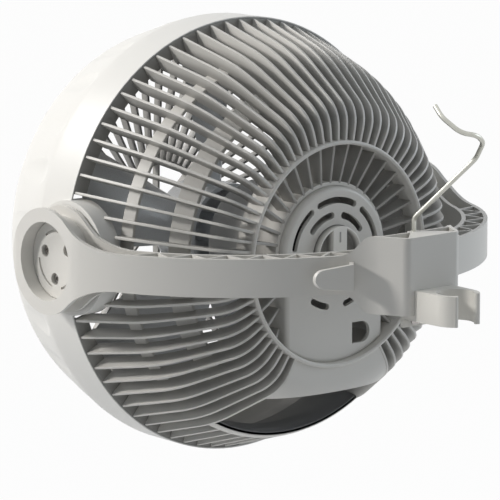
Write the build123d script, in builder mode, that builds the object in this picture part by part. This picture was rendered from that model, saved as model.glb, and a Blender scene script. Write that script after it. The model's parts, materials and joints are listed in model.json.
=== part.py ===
from build123d import *
from math import asin, cos, degrees, radians, sin, sqrt
import os

os.makedirs("parts", exist_ok=True)

# A clip fan: a ball-shaped head hung between the arms of a curved yoke, and a spring clip behind
# the yoke that grips a round pole.
#
# Frame: the origin is the centre of the clip's bore, +Z runs up along the pole, and the fan blows
# towards -Y. The head's tilt axis is parallel to X and crosses the fan's own axis at PIVOT.

# ---- driving dimensions, in millimetres and degrees -------------------------------------------

# The pole, and where the head hangs from it
POLE_R = 9.5
POLE_TO_PIVOT = 170.0
PIVOT_RISE = 15.0

# Clearances
SEAT = 0.1          # between parts that are assembled for good
GAP = 0.3           # between parts that move past each other
RUN = 0.05          # radial, in a turning fit

# Front shroud, a bowl round the blades, measured from the fan axis and from the tilt axis
SHROUD_R = 116.2
SHROUD_WALL = 2.4
SHROUD_CREASE_R = 116.0
SHROUD_CREASE_Y = 23.0
SHROUD_WAIST_R = 108.0
SHROUD_WAIST_Y = 50.0
SHROUD_CHEEK_R = 98.0
SHROUD_CHEEK_Y = 70.0
SHROUD_LIP_R = 94.4
SHROUD_LIP_Y = 72.0
LIP_FLANGE = 2.2
LIP_INNER_R = 90.6
RABBET_WALL = 1.0
RABBET_DEPTH = 12.0
SCALLOPS = 26
SCALLOP_R = 25.0
SCALLOP_DEPTH = 1.4
SCALLOP_DEEPEST = 0.20
SCALLOP_RUN_OUT = 0.68

# Side bosses of the shroud and the trunnions that the yoke carries
BOSS_R = 30.0
BOSS_FACE = 113.9
BOSS_INNER = 103.0
BOSS_WALL = 2.6
BOSS_PLATE = 3.0
BOSS_EDGE = 1.4
TRUNNION_R = 14.9
WASHER_THICKNESS = 1.0
WASHER_R = 26.0

# Yoke
YOKE_R = 132.0
YOKE_DEPTH = 13.8
YOKE_HALF = 9.8
YOKE_WALL = 2.2
YOKE_WEB = 1.6
YOKE_RIB = 1.3
YOKE_BAYS = 30
YOKE_BAY_START = 26.0
HUB_R = 27.7
HUB_FACE = 129.7
HUB_FLARE_R = 50.0
HUB_BLEND_R = 30.0
RECESS_R = 20.5
LEDGE = 2.0
CAP_THICKNESS = 4.4
CAP_SCREW_PCD = 21.0
CAP_SCREW_ANGLES = (-71.0, 56.0, -170.0)
CAP_SCREW_SINK = 1.6
CAP_GROOVE_R = 14.9
CAP_GROOVE = 1.3
CAP_GROOVE_START = 22.0
CAP_GROOVE_SWEEP = 72.0

# Clamp box at the back of the yoke
BOX_HALF = 19.9
BOX_REAR = 153.6
BOX_FLARE_ANGLE = 71.0
BOX_FLARE_R = 33.0
BOX_FLARE_TURN = 43.0
BOX_CORNER_R = 5.0
BOX_RISE_START = 125.5
BOX_RISE_END = 137.3
BOX_RIB_Y = 139.7
BLOCK_FRONT_HALF = 3.3
BLOCK_FRONT_Y = 140.8
BLOCK_REAR_HALF = 14.1
BLOCK_REAR_Y = 150.4

# Cord hook on the yoke's flank
CORD_HOOK_R = 140.4
CORD_HOOK_THICKNESS = 2.2
CORD_HOOK_FOOT = (33.5, 129.0)
CORD_HOOK_HEEL = (38.4, 135.0)
CORD_HOOK_SWEEP = 8.6
CORD_HOOK_TIP_X = 57.5
CORD_HOOK_HALF = 6.8
CORD_HOOK_TIP_R = 5.0

# Pole clip
CLIP_HALF = 7.85
CLIP_WALL = 2.8
CLIP_ROOT_HALF = 12.9
CLIP_MOUTH = 43.0
CLIP_MOUTH_REACH = 28.5
CLIP_LIP_R = 1.5
CLIP_FOOT_REACH = 10.6
CLIP_TAB_DROP = 4.6
CLIP_TAB_THICKNESS = 2.0
CLIP_SCREW_X = 8.0
CLIP_SCREW_Y = 149.3

# Wire hook over the pole
WIRE_R = 1.25
HOOK_LEG_Y = 138.5
HOOK_LEG_DEPTH = 24.0
HOOK_BEND_Z = 26.6
HOOK_BEND_R = 4.0
HOOK_WRAP_R = 12.4
HOOK_WRAP_STEP = 42.0
HOOK_WRAP_Z = (59.5, 69.1, 73.8, 75.8, 83.2)
HOOK_TIP_Z = 88.1
HOOK_WRAP_START = 181.0
HOOK_WRAP_END = 4.65
HOOK_WRAP_CORNER_R = 9.9

# Rear grille, a dome of upright fins
RIM_INNER_R = 112.7
RIM_DEPTH = 10.0
FINS = 74
FIN_THICKNESS = 1.5
DOME_BEND = (102.9, 40.6)
DOME_BEND_R = 25.0
DOME_SHOULDER = (75.9, 80.5)
DOME_SHOULDER_R = 16.0
RING_R = 59.3
RING_WIDTH = 3.0
RING_FRONT = 58.0
RING_REAR = 82.0
BANDS = (((99.0, 28.0), (91.0, 30.0)), ((87.0, 52.0), (75.0, 55.0)), ((62.0, 60.0), (54.0, 60.0)))
BAND_THICKNESS = 1.6
BAND_SINK = 1.4
MOUTH_HALF_ANGLE = 29.0
MOUTH_RIM = (34.8, 42.6)
MOUTH_RIM_WALL = 2.0
CHIN_WALL = 2.4
CHIN_INSET = 0.3
CHIN_DROP = 73.0
SPOKE_SLOPE = 4.0
HUB_RING_WALL = 2.2

# Rear cover over the motor, with the knob well, the vents and the cable inlet
COVER_R = 35.0
COVER_FACE = 78.0
COVER_WALL = 2.4
COVER_EDGE_R = 2.5
COVER_HALF = 33.0
VENT_R = 28.0
VENT_WIDTH = 3.4
VENTS = ((68.0, 49.0), (11.0, 44.0), (131.0, 44.0), (-78.0, 20.0), (-125.0, 20.0))
INNER_VENT_R = 20.3
INNER_VENT_WIDTH = 3.6
INNER_VENTS = ((41.0, 42.0), (106.5, 39.0))
INLET_X = -18.3
INLET_Z = -43.5
INLET_R = 5.6
INLET_FLAT = 6.5

# Terminal block inside the cover, beside the inlet
TERMINAL_X = 14.0
TERMINAL_WIDTH = 18.0
TERMINAL_HEIGHT = 12.0
TERMINAL_DEPTH = 10.0

# Speed knob and its switch
KNOB_R = 14.8
KNOB_FACE = 82.0
KNOB_RIM = 0.9
KNOB_GRIP_HALF = 4.6
KNOB_SCOOP = 5.0
KNOB_DRAFT = 8.0
KNOB_BASE = 9.5
SPINDLE_R = 3.0
SWITCH_SIZE = 24.0
SWITCH_DEPTH = 10.0
SWITCH_NUT_R = 6.0
SWITCH_NUT_DEPTH = 2.5

# Motor
PLATE_FACE = 54.7
PLATE_THICKNESS = 2.5
PLATE_R = 45.0
PLATE_BORE_R = 12.0
PLATE_SCREW_PCD = 83.0
PLATE_SCREW_ANGLES = (-10.0, 60.0, 120.0, 190.0)
PLATE_BOSS_R = 5.2
PLATE_BOSS_LENGTH = 9.0
MOTOR_R = 31.0
MOTOR_LENGTH = 42.0
MOTOR_WALL = 1.5
MOTOR_EDGE_R = 3.0
MOTOR_SCREW_PCD = 40.0
SHAFT_R = 4.0
BEARING_R = 9.0
BEARING_LENGTH = 7.0
STATOR_BORE_R = 17.0
STATOR_LENGTH = 24.0
AIR_GAP = 0.6

# Blades
BLADES = 5
BLADE_TIP_R = 95.0
BLADE_HUB_R = 26.0
BLADE_HUB_WALL = 2.2
BLADE_HUB_REAR = -8.0
BLADE_HUB_FRONT = -44.0
BLADE_HUB_EDGE_R = 7.0
BLADE_Y = -26.0
BLADE_SECTIONS = ((24.5, 33.0, 44.0, 3.4), (60.0, 50.0, 32.0, 2.6), (BLADE_TIP_R, 62.0, 23.0, 1.8))
BLADE_CAMBER = 0.10
BLADE_BOSS_R = 8.0
NUT_R = 9.5
NUT_DEPTH = 7.0

# Front grille
FRONT_RING_R = 93.0
FRONT_RING_WIDTH = 3.4
FRONT_RING_DEPTH = 5.0
FRONT_PLATES = 48
FRONT_PLATE_THICKNESS = 1.3
FRONT_PLATE_DEPTH = 4.6
FRONT_BULGE = 4.0
FRONT_INNER_R = 30.0
FRONT_INNER_WIDTH = 2.4
FRONT_SPOKES = 8
FRONT_CAP_R = 12.0
FRONT_CAP_THICKNESS = 3.0

# Screws
SCREW_R = 1.5
SCREW_HEAD_R = 2.8
SCREW_HEAD_DEPTH = 2.0
SCREW_HEAD_DRAFT = 12.0
SCREW_BITE = 8.0
SCREW_STAR_R = 1.3
SCREW_STAR_DEPTH = 1.1

# ---- places worked out from the dimensions ------------------------------------------------------

PIVOT = Vector(0, -POLE_TO_PIVOT, PIVOT_RISE)
FAN_AXIS = Axis(PIVOT, (0, 1, 0))
HUB_BACK = BOSS_FACE + WASHER_THICKNESS + GAP
CAP_BACK = HUB_BACK + LEDGE + GAP
CAP_FACE = CAP_BACK + CAP_THICKNESS
RIM_R = SHROUD_R - RABBET_WALL - SEAT
MOTOR_REAR = PLATE_FACE - PLATE_THICKNESS
MOTOR_FRONT = MOTOR_REAR - MOTOR_LENGTH
MOTOR_MIDDLE = (MOTOR_REAR + MOTOR_FRONT) / 2
BOX_BOTTOM = PIVOT_RISE - BOX_HALF
CLIP_ROOT_Y = BOX_REAR - POLE_TO_PIVOT


def level(height):
    """A plane square to the pole, with its origin above or below the pivot."""
    return Plane(origin=PIVOT + Vector(0, 0, height), x_dir=(1, 0, 0), z_dir=(0, 0, 1))


def behind(distance):
    """A plane square to the fan axis, seen from behind: local y is up, and it faces forwards."""
    return Plane(origin=PIVOT + Vector(0, distance, 0), x_dir=(1, 0, 0), z_dir=(0, -1, 0))


def side(offset):
    """A plane square to the tilt axis: local x is backwards and local y is up."""
    return Plane(origin=PIVOT + Vector(offset, 0, 0), x_dir=(0, 1, 0), z_dir=(1, 0, 0))


def radial(angle):
    """A plane through the fan axis: local x is outwards and local y is backwards."""
    outwards = Vector(cos(radians(angle)), 0, sin(radians(angle)))
    return Plane(origin=PIVOT, x_dir=outwards, z_dir=outwards.cross(Vector(0, 1, 0)))


def polar(radius, angle):
    """The point of a sketch at a radius and an angle."""
    return (radius * cos(radians(angle)), radius * sin(radians(angle)))


plate_screw_spots = [polar(PLATE_SCREW_PCD / 2, angle) for angle in PLATE_SCREW_ANGLES]


def star_screw(place):
    """A pan head screw with a six-lobed recess: its head's underside lies on the plane."""
    with BuildPart() as screw:
        with BuildSketch(place):
            Circle(SCREW_R)
        extrude(amount=-SCREW_BITE)
        with BuildSketch(place):
            Circle(SCREW_HEAD_R)
        extrude(amount=SCREW_HEAD_DEPTH, taper=SCREW_HEAD_DRAFT)
        with BuildSketch(place.offset(SCREW_HEAD_DEPTH)):
            RegularPolygon(SCREW_STAR_R, 6)
        extrude(amount=-SCREW_STAR_DEPTH, mode=Mode.SUBTRACT)
    return screw.part


# ---- yoke: two arms and a clamp box, moulded with a ribbed channel along both edges -------------

hub_flare = Vector(sqrt((HUB_R + HUB_FLARE_R) ** 2 - (YOKE_HALF + HUB_FLARE_R) ** 2), YOKE_HALF + HUB_FLARE_R)
hub_tangent = hub_flare * (HUB_R / (HUB_R + HUB_FLARE_R))


def box_half(inset):
    """The left half of the clamp box in plan, from the arm's flare to the rear face, drawn inset."""
    flare = JernArc(
        start=polar(YOKE_R - inset, BOX_FLARE_ANGLE),
        tangent=polar(1, BOX_FLARE_ANGLE + 90),
        radius=BOX_FLARE_R + inset,
        arc_size=-BOX_FLARE_TURN,
    )
    taper = flare % 1
    flank = Line(flare @ 1, flare @ 1 + taper * ((BOX_REAR - inset - (flare @ 1).Y) / taper.Y))
    Polyline(flank @ 1, (0, BOX_REAR - inset), (0, YOKE_R - YOKE_WALL), flare @ 0)


with BuildPart() as yoke:
    hub_middle = (HUB_FACE + HUB_BACK) / 2
    with BuildSketch(level(0)) as yoke_plan:
        Circle(YOKE_R)
        Circle(YOKE_R - YOKE_DEPTH, mode=Mode.SUBTRACT)
        with Locations((0, BOX_REAR / 2)):
            Rectangle(2 * HUB_FACE, BOX_REAR, mode=Mode.INTERSECT)
        with Locations((hub_middle, 0), (-hub_middle, 0)):
            Rectangle(HUB_FACE - HUB_BACK, 2 * HUB_R)
        Circle(YOKE_R, mode=Mode.INTERSECT)
        hub_corners = yoke_plan.vertices().filter_by(lambda corner: abs(corner.X) > HUB_FACE - SEAT)
        fillet(hub_corners.group_by(Axis.Y)[-1], HUB_BLEND_R)
        with BuildLine():
            box_half(0)
        make_face()
        mirror(about=Plane.YZ)
        fillet(yoke_plan.vertices().group_by(Axis.Y)[-1], BOX_CORNER_R)
    extrude(amount=BOX_HALF + HUB_R, both=True)

    with BuildSketch(side(0)) as yoke_profile:
        with BuildLine():
            crown = ThreePointArc((-HUB_R, 0), (0, HUB_R), hub_tangent)
            sag = hub_flare - (hub_flare.normalized() + Vector(0, 1)).normalized() * HUB_FLARE_R
            dip = ThreePointArc(crown @ 1, sag, (hub_flare.X, YOKE_HALF))
            run = Line(dip @ 1, (BOX_RISE_START, YOKE_HALF))
            middle = (BOX_RISE_START + BOX_RISE_END) / 2
            rise = Bezier(run @ 1, (middle, YOKE_HALF), (middle, BOX_HALF), (BOX_RISE_END, BOX_HALF))
            Polyline(rise @ 1, (BOX_REAR, BOX_HALF), (BOX_REAR, 0), (-HUB_R, 0))
        make_face()
        mirror(about=Plane.XZ)
    extrude(amount=YOKE_R, both=True, mode=Mode.INTERSECT)

    with BuildSketch(level(YOKE_WEB / 2)) as pockets:
        Circle(YOKE_R - YOKE_WALL)
        Circle(YOKE_R - YOKE_DEPTH + YOKE_WALL, mode=Mode.SUBTRACT)
        with Locations((0, BOX_REAR / 2)):
            Rectangle(2 * (HUB_FACE - YOKE_WALL), BOX_REAR, mode=Mode.INTERSECT)
        with Locations((hub_middle, 0), (-hub_middle, 0)):
            Rectangle(HUB_FACE - HUB_BACK - 2 * YOKE_WALL, 2 * (HUB_R - YOKE_WALL))
        Circle(YOKE_R - YOKE_WALL, mode=Mode.INTERSECT)
        with BuildLine():
            box_half(YOKE_WALL)
        make_face()
        mirror(about=Plane.YZ)
        with BuildLine():
            CenterArc((0, 0), YOKE_R - YOKE_WALL / 2, BOX_FLARE_ANGLE, 180 - 2 * BOX_FLARE_ANGLE)
        trace(line_width=YOKE_WALL, mode=Mode.SUBTRACT)
        with BuildLine():
            bay = (180 - 2 * YOKE_BAY_START) / YOKE_BAYS
            radii = (YOKE_R - YOKE_WALL / 2, YOKE_R - YOKE_DEPTH + YOKE_WALL / 2)
            Polyline([polar(radii[k % 2], YOKE_BAY_START + k * bay) for k in range(YOKE_BAYS + 1)])
        trace(line_width=YOKE_RIB, mode=Mode.SUBTRACT)
        with BuildLine():
            Line((-BOX_FLARE_R, BOX_RIB_Y), (BOX_FLARE_R, BOX_RIB_Y))
        trace(line_width=YOKE_RIB, mode=Mode.SUBTRACT)
        with BuildLine():
            Polyline(
                (BLOCK_FRONT_HALF, BLOCK_FRONT_Y - YOKE_RIB),
                (BLOCK_REAR_HALF, BLOCK_REAR_Y),
                (BLOCK_REAR_HALF, BOX_REAR),
                (-BLOCK_REAR_HALF, BOX_REAR),
                (-BLOCK_REAR_HALF, BLOCK_REAR_Y),
                (-BLOCK_FRONT_HALF, BLOCK_FRONT_Y - YOKE_RIB),
                close=True,
            )
        make_face(mode=Mode.SUBTRACT)
        with Locations((0, HOOK_LEG_Y)):
            Circle(BLOCK_FRONT_HALF, mode=Mode.SUBTRACT)
    extrude(amount=BOX_HALF + HUB_R, mode=Mode.SUBTRACT)
    with BuildSketch(level(-YOKE_WEB / 2)):
        add(pockets.sketch_local)
    extrude(amount=-BOX_HALF - HUB_R, mode=Mode.SUBTRACT)

    with BuildSketch(side(HUB_BACK), side(-HUB_FACE)):
        Circle(RECESS_R + YOKE_WALL)
    extrude(amount=HUB_FACE - HUB_BACK)
    with BuildSketch(side(HUB_BACK + LEDGE), side(-HUB_FACE)):
        Circle(RECESS_R)
    extrude(amount=HUB_FACE - HUB_BACK - LEDGE, mode=Mode.SUBTRACT)
    with BuildSketch(side(-YOKE_R)):
        Circle(TRUNNION_R + RUN)
    extrude(amount=2 * YOKE_R, mode=Mode.SUBTRACT)

    with BuildSketch(level(BOX_HALF)):
        with Locations((0, HOOK_LEG_Y)):
            Circle(WIRE_R + RUN)
    extrude(amount=-HOOK_LEG_DEPTH - GAP, mode=Mode.SUBTRACT)
    with BuildSketch(level(-BOX_HALF)):
        with Locations((CLIP_SCREW_X, CLIP_SCREW_Y), (-CLIP_SCREW_X, CLIP_SCREW_Y)):
            Circle(SCREW_R + RUN)
    extrude(amount=SCREW_BITE, mode=Mode.SUBTRACT)
yoke.part.label = "yoke"
export_step(yoke.part, "parts/yoke.step")

# ---- cord hook: a curved tongue that stands off the yoke's flank --------------------------------

with BuildPart() as cord_hook:
    with BuildSketch(level(0)):
        with BuildLine():
            heel_angle = degrees(asin(CORD_HOOK_HEEL[1] / CORD_HOOK_R))
            tongue = CenterArc((0, 0), CORD_HOOK_R, heel_angle - CORD_HOOK_SWEEP, CORD_HOOK_SWEEP)
            Line(tongue @ 1, CORD_HOOK_FOOT)
        trace(line_width=CORD_HOOK_THICKNESS)
        add(yoke_plan.sketch_local, mode=Mode.SUBTRACT)
    extrude(amount=YOKE_HALF, both=True)
    with BuildSketch(behind(BOX_REAR)):
        with BuildLine():
            nose = CenterArc((CORD_HOOK_TIP_X - CORD_HOOK_TIP_R, 0), CORD_HOOK_TIP_R, -80, 160)
            heel = Line((CORD_HOOK_HEEL[0], -CORD_HOOK_HALF), (CORD_HOOK_HEEL[0], CORD_HOOK_HALF))
            Line(nose @ 1, heel @ 1)
            Polyline(heel @ 1, (0, CORD_HOOK_HALF), (0, -CORD_HOOK_HALF), heel @ 0)
            Line(heel @ 0, nose @ 0)
        make_hull()
    extrude(amount=BOX_REAR, mode=Mode.INTERSECT)
cord_hook.part.label = "cord_hook"
export_step(cord_hook.part, "parts/cord_hook.step")

# ---- pole clip: a C-shaped spring clip with a foot under the box ---------------------------------

with BuildPart() as pole_clip:
    with BuildSketch(Plane.XY.offset(-CLIP_HALF)):
        Circle(POLE_R + CLIP_WALL)
        with BuildLine():
            Polyline(
                (CLIP_ROOT_HALF, CLIP_ROOT_Y + SEAT),
                (POLE_R + CLIP_WALL, 0),
                (-POLE_R - CLIP_WALL, 0),
                (-CLIP_ROOT_HALF, CLIP_ROOT_Y + SEAT),
                close=True,
            )
        make_face()
        with BuildLine():
            Polyline(
                (0, 0),
                polar(CLIP_MOUTH_REACH, 90 - CLIP_MOUTH),
                polar(CLIP_MOUTH_REACH, 90 + CLIP_MOUTH),
                close=True,
            )
        make_face(mode=Mode.SUBTRACT)
        lip = POLE_R + CLIP_WALL / 2
        with Locations(polar(lip, 90 - CLIP_MOUTH), polar(lip, 90 + CLIP_MOUTH)):
            Circle(CLIP_LIP_R)
        Circle(POLE_R + RUN, mode=Mode.SUBTRACT)
    extrude(amount=2 * CLIP_HALF)
    with BuildSketch(Plane.XY.offset(-CLIP_HALF)):
        foot_front = CLIP_ROOT_Y - CLIP_FOOT_REACH
        with Locations((0, CLIP_ROOT_Y - CLIP_FOOT_REACH / 2 + SEAT)):
            RectangleRounded(2 * CLIP_ROOT_HALF, CLIP_FOOT_REACH, CLIP_LIP_R)
        with Locations((0, CLIP_ROOT_Y)):
            Rectangle(2 * CLIP_ROOT_HALF, 2 * CLIP_LIP_R)
    extrude(amount=CLIP_HALF + BOX_BOTTOM - SEAT)
    with BuildSketch(Plane.XY.offset(-CLIP_HALF)):
        with Locations((0, foot_front + CLIP_TAB_THICKNESS / 2 + SEAT)):
            Rectangle(2 * CLIP_ROOT_HALF, CLIP_TAB_THICKNESS)
    extrude(amount=-CLIP_TAB_DROP)
    with BuildSketch(Plane.XY.offset(-CLIP_HALF)):
        with Locations(
            (CLIP_SCREW_X, CLIP_SCREW_Y - POLE_TO_PIVOT),
            (-CLIP_SCREW_X, CLIP_SCREW_Y - POLE_TO_PIVOT),
        ):
            Circle(SCREW_R + RUN)
    extrude(amount=CLIP_HALF, mode=Mode.SUBTRACT)
pole_clip.part.label = "pole_clip"
export_step(pole_clip.part, "parts/pole_clip.step")

with BuildPart() as clip_screws:
    for across in (CLIP_SCREW_X, -CLIP_SCREW_X):
        head = Vector(across, CLIP_SCREW_Y - POLE_TO_PIVOT, -CLIP_HALF)
        add(star_screw(Plane(origin=head, x_dir=(1, 0, 0), z_dir=(0, 0, -1))))
clip_screws.part.label = "clip_screws"
export_step(clip_screws.part, "parts/clip_screws.step")

# ---- wire hook: one bent wire whose leg turns in the box and whose end wraps round the pole ------

hook_base = PIVOT + Vector(0, HOOK_LEG_Y, BOX_HALF - HOOK_LEG_DEPTH)
hook_bend = PIVOT + Vector(0, HOOK_LEG_Y, HOOK_BEND_Z)
wrap_corner_r = HOOK_WRAP_R / cos(radians(HOOK_WRAP_STEP / 2))
wrap_corners = [
    Vector(*polar(wrap_corner_r, HOOK_WRAP_START - k * HOOK_WRAP_STEP), PIVOT_RISE + z)
    for k, z in enumerate(HOOK_WRAP_Z)
]
wrap_end = Vector(
    *polar(HOOK_WRAP_R, HOOK_WRAP_START - HOOK_WRAP_END * HOOK_WRAP_STEP), PIVOT_RISE + HOOK_TIP_Z
)

with BuildPart() as wire_hook:
    with BuildLine() as hook_path:
        FilletPolyline(
            hook_base,
            hook_bend,
            *wrap_corners,
            wrap_end,
            radius=[HOOK_BEND_R] + [HOOK_WRAP_CORNER_R] * len(wrap_corners),
        )
    with BuildSketch(Plane(origin=hook_base, z_dir=(0, 0, 1))):
        Circle(WIRE_R)
    sweep()
wire_hook.part.label = "wire_hook"
export_step(wire_hook.part, "parts/wire_hook.step")

# ---- front shroud: a scalloped bowl with a boss on each side that carries the trunnion -----------


def shroud_skin(inset):
    """The bowl's outline from its rear edge to its lip, moved inwards by inset."""
    rear = Line((SHROUD_R - inset, 0), (SHROUD_CREASE_R - inset, -SHROUD_CREASE_Y))
    front = Spline(
        (SHROUD_CREASE_R - inset, -SHROUD_CREASE_Y),
        (SHROUD_WAIST_R - inset, -SHROUD_WAIST_Y),
        (SHROUD_CHEEK_R - inset, -SHROUD_CHEEK_Y),
        (SHROUD_LIP_R - inset, -SHROUD_LIP_Y),
        tangents=((-0.18, -1), (-1, -0.35)),
    )
    return rear, front


with BuildPart() as front_shroud:
    with BuildSketch(level(0)):
        with BuildLine():
            outer_rear, outer_front = shroud_skin(0)
            inner_rear, inner_front = shroud_skin(SHROUD_WALL)
            Line(outer_rear @ 0, inner_rear @ 0)
            Line(outer_front @ 1, inner_front @ 1)
        make_face()
        with Locations(((LIP_INNER_R + SHROUD_LIP_R) / 2, LIP_FLANGE / 2 - SHROUD_LIP_Y)):
            Rectangle(SHROUD_LIP_R - LIP_INNER_R, LIP_FLANGE)
        with Locations((0, -RABBET_DEPTH / 2)):
            Rectangle(2 * (SHROUD_R - RABBET_WALL), RABBET_DEPTH, mode=Mode.SUBTRACT)
    revolve(axis=FAN_AXIS)
    with BuildSketch(side(BOSS_FACE), side(-YOKE_R)):
        Circle(BOSS_R)
    extrude(amount=YOKE_R - BOSS_FACE, mode=Mode.SUBTRACT)
    with BuildSketch(side(BOSS_INNER), side(-BOSS_FACE)):
        Circle(BOSS_R)
    extrude(amount=BOSS_FACE - BOSS_INNER)
    with BuildSketch(side(BOSS_INNER), side(-BOSS_FACE + BOSS_PLATE)):
        Circle(BOSS_R - BOSS_WALL)
    extrude(amount=BOSS_FACE - BOSS_INNER - BOSS_PLATE, mode=Mode.SUBTRACT)
    with BuildSketch(side(BOSS_INNER), side(-CAP_BACK)):
        Circle(TRUNNION_R)
    extrude(amount=CAP_BACK - BOSS_INNER)
    for angle in CAP_SCREW_ANGLES:
        with BuildSketch(side(-YOKE_R)):
            with Locations(polar(CAP_SCREW_PCD / 2, 90 - angle)):
                Circle(SCREW_R + RUN)
        extrude(amount=2 * YOKE_R, mode=Mode.SUBTRACT)
    floor = outer_front @ SCALLOP_DEEPEST - Vector(SCALLOP_DEPTH, 0)
    aim = (outer_front @ SCALLOP_RUN_OUT - floor).normalized()
    centre = floor + aim.rotate(Axis.Z, 90) * SCALLOP_R
    shoulder = centre + ((floor - centre).normalized() - aim).normalized() * SCALLOP_R
    for k in range(SCALLOPS):
        plane = radial(90 + k * 360 / SCALLOPS)
        with BuildSketch(plane):
            with BuildLine():
                ThreePointArc(centre - aim * SCALLOP_R, shoulder, floor)
                Polyline(
                    floor, floor + aim * SHROUD_LIP_Y, centre + aim * SHROUD_LIP_Y, centre - aim * SCALLOP_R
                )
            make_face()
        tip = plane.from_local_coords(centre)
        revolve(axis=Axis(tip, plane.from_local_coords(centre + aim) - tip), mode=Mode.SUBTRACT)
front_shroud.part.label = "front_shroud"
export_step(front_shroud.part, "parts/front_shroud.step")

# ---- what joins the head to the yoke: a washer, a cap and three screws on each side --------------

for hand, name in ((1, "left"), (-1, "right")):
    with BuildPart() as washer:
        with BuildSketch(side(hand * BOSS_FACE)):
            Circle(WASHER_R)
            Circle(TRUNNION_R + SEAT, mode=Mode.SUBTRACT)
        extrude(amount=hand * WASHER_THICKNESS)
    washer.part.label = f"friction_washer_{name}"
    export_step(washer.part, f"parts/friction_washer_{name}.step")

    with BuildPart() as cap:
        with BuildSketch(side(hand * CAP_BACK)):
            Circle(RECESS_R - GAP)
        extrude(amount=hand * CAP_THICKNESS)
        for angle in CAP_SCREW_ANGLES:
            with BuildSketch(side(hand * CAP_BACK)):
                with Locations(polar(CAP_SCREW_PCD / 2, 90 - angle)):
                    Circle(SCREW_R + RUN)
            extrude(amount=hand * CAP_THICKNESS, mode=Mode.SUBTRACT)
            with BuildSketch(side(hand * CAP_FACE)):
                with Locations(polar(CAP_SCREW_PCD / 2, 90 - angle)):
                    Circle(SCREW_HEAD_R + GAP)
            extrude(amount=-hand * (SCREW_HEAD_DEPTH + CAP_SCREW_SINK), mode=Mode.SUBTRACT)
        with BuildSketch(side(hand * CAP_FACE)):
            for angle in CAP_SCREW_ANGLES:
                with BuildLine():
                    CenterArc((0, 0), CAP_GROOVE_R, 90 - angle + CAP_GROOVE_START, CAP_GROOVE_SWEEP)
                trace(line_width=CAP_GROOVE)
        extrude(amount=-hand * CAP_GROOVE, mode=Mode.SUBTRACT)
    cap.part.label = f"pivot_cap_{name}"
    export_step(cap.part, f"parts/pivot_cap_{name}.step")

    with BuildPart() as screws:
        for angle in CAP_SCREW_ANGLES:
            across, up = polar(CAP_SCREW_PCD / 2, 90 - angle)
            head = PIVOT + Vector(hand * (CAP_FACE - CAP_SCREW_SINK - SCREW_HEAD_DEPTH), across, up)
            add(star_screw(Plane(origin=head, x_dir=(0, 1, 0), z_dir=(hand, 0, 0))))
    screws.part.label = f"pivot_screws_{name}"
    export_step(screws.part, f"parts/pivot_screws_{name}.step")

# ---- rear grille: a dome of upright fins on inner bands, with a chin panel over an open mouth ----

FIN_STEP = 360 / FINS
MOUTH_FINS = round(2 * MOUTH_HALF_ANGLE / FIN_STEP) - 1
long_fins = [90 + k * FIN_STEP for k in range(FINS) if abs(k - FINS / 2) > MOUTH_FINS / 2]
short_fins = [90 + k * FIN_STEP for k in range(FINS) if abs(k - FINS / 2) <= MOUTH_FINS / 2]
spokes = [90 + 2 * k * FIN_STEP for k in range(FINS // 2)]
mouth_start = -90 + MOUTH_HALF_ANGLE
mouth_end = -90 - MOUTH_HALF_ANGLE


def dome_radius(y):
    """The radius of the dome's lower, straight part at a distance behind the pivot."""
    return RIM_R + (DOME_BEND[0] - RIM_R) * y / DOME_BEND[1]


def dome_section(inner_points):
    """A fin's outline: the dome's profile outside, and the given points back to the rim inside."""
    with BuildSketch(mode=Mode.PRIVATE) as outline:
        with BuildLine():
            dome = FilletPolyline(
                (RIM_R, 0),
                DOME_BEND,
                DOME_SHOULDER,
                (RING_R, DOME_SHOULDER[1]),
                radius=[DOME_BEND_R, DOME_SHOULDER_R],
            )
            Polyline(dome @ 1, *inner_points, dome @ 0)
        make_face()
    return outline.sketch_local


fin_inner = [
    (RING_R, BANDS[-1][0][1]),
    *[point for band in BANDS[::-1] for point in band[::-1] if point[0] > RING_R],
    (RIM_INNER_R, 0),
]

with BuildPart() as chin:
    with BuildSketch(radial(mouth_start)):
        with BuildLine():
            chin_line = FilletPolyline(
                (RIM_R, 0),
                DOME_BEND,
                DOME_SHOULDER,
                (RING_R, DOME_SHOULDER[1]),
                radius=[DOME_BEND_R, DOME_SHOULDER_R],
            )
        trace(line_width=2 * (CHIN_WALL + CHIN_INSET))
        add(dome_section([(RING_R, 0)]), mode=Mode.INTERSECT)
        trace(chin_line, line_width=2 * CHIN_INSET, mode=Mode.SUBTRACT)
    revolve(axis=FAN_AXIS, revolution_arc=2 * MOUTH_HALF_ANGLE)
    with BuildSketch(level(-CHIN_DROP)):
        Rectangle(2 * SHROUD_R, 2 * SHROUD_R)
    extrude(amount=-SHROUD_R, mode=Mode.SUBTRACT)

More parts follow.
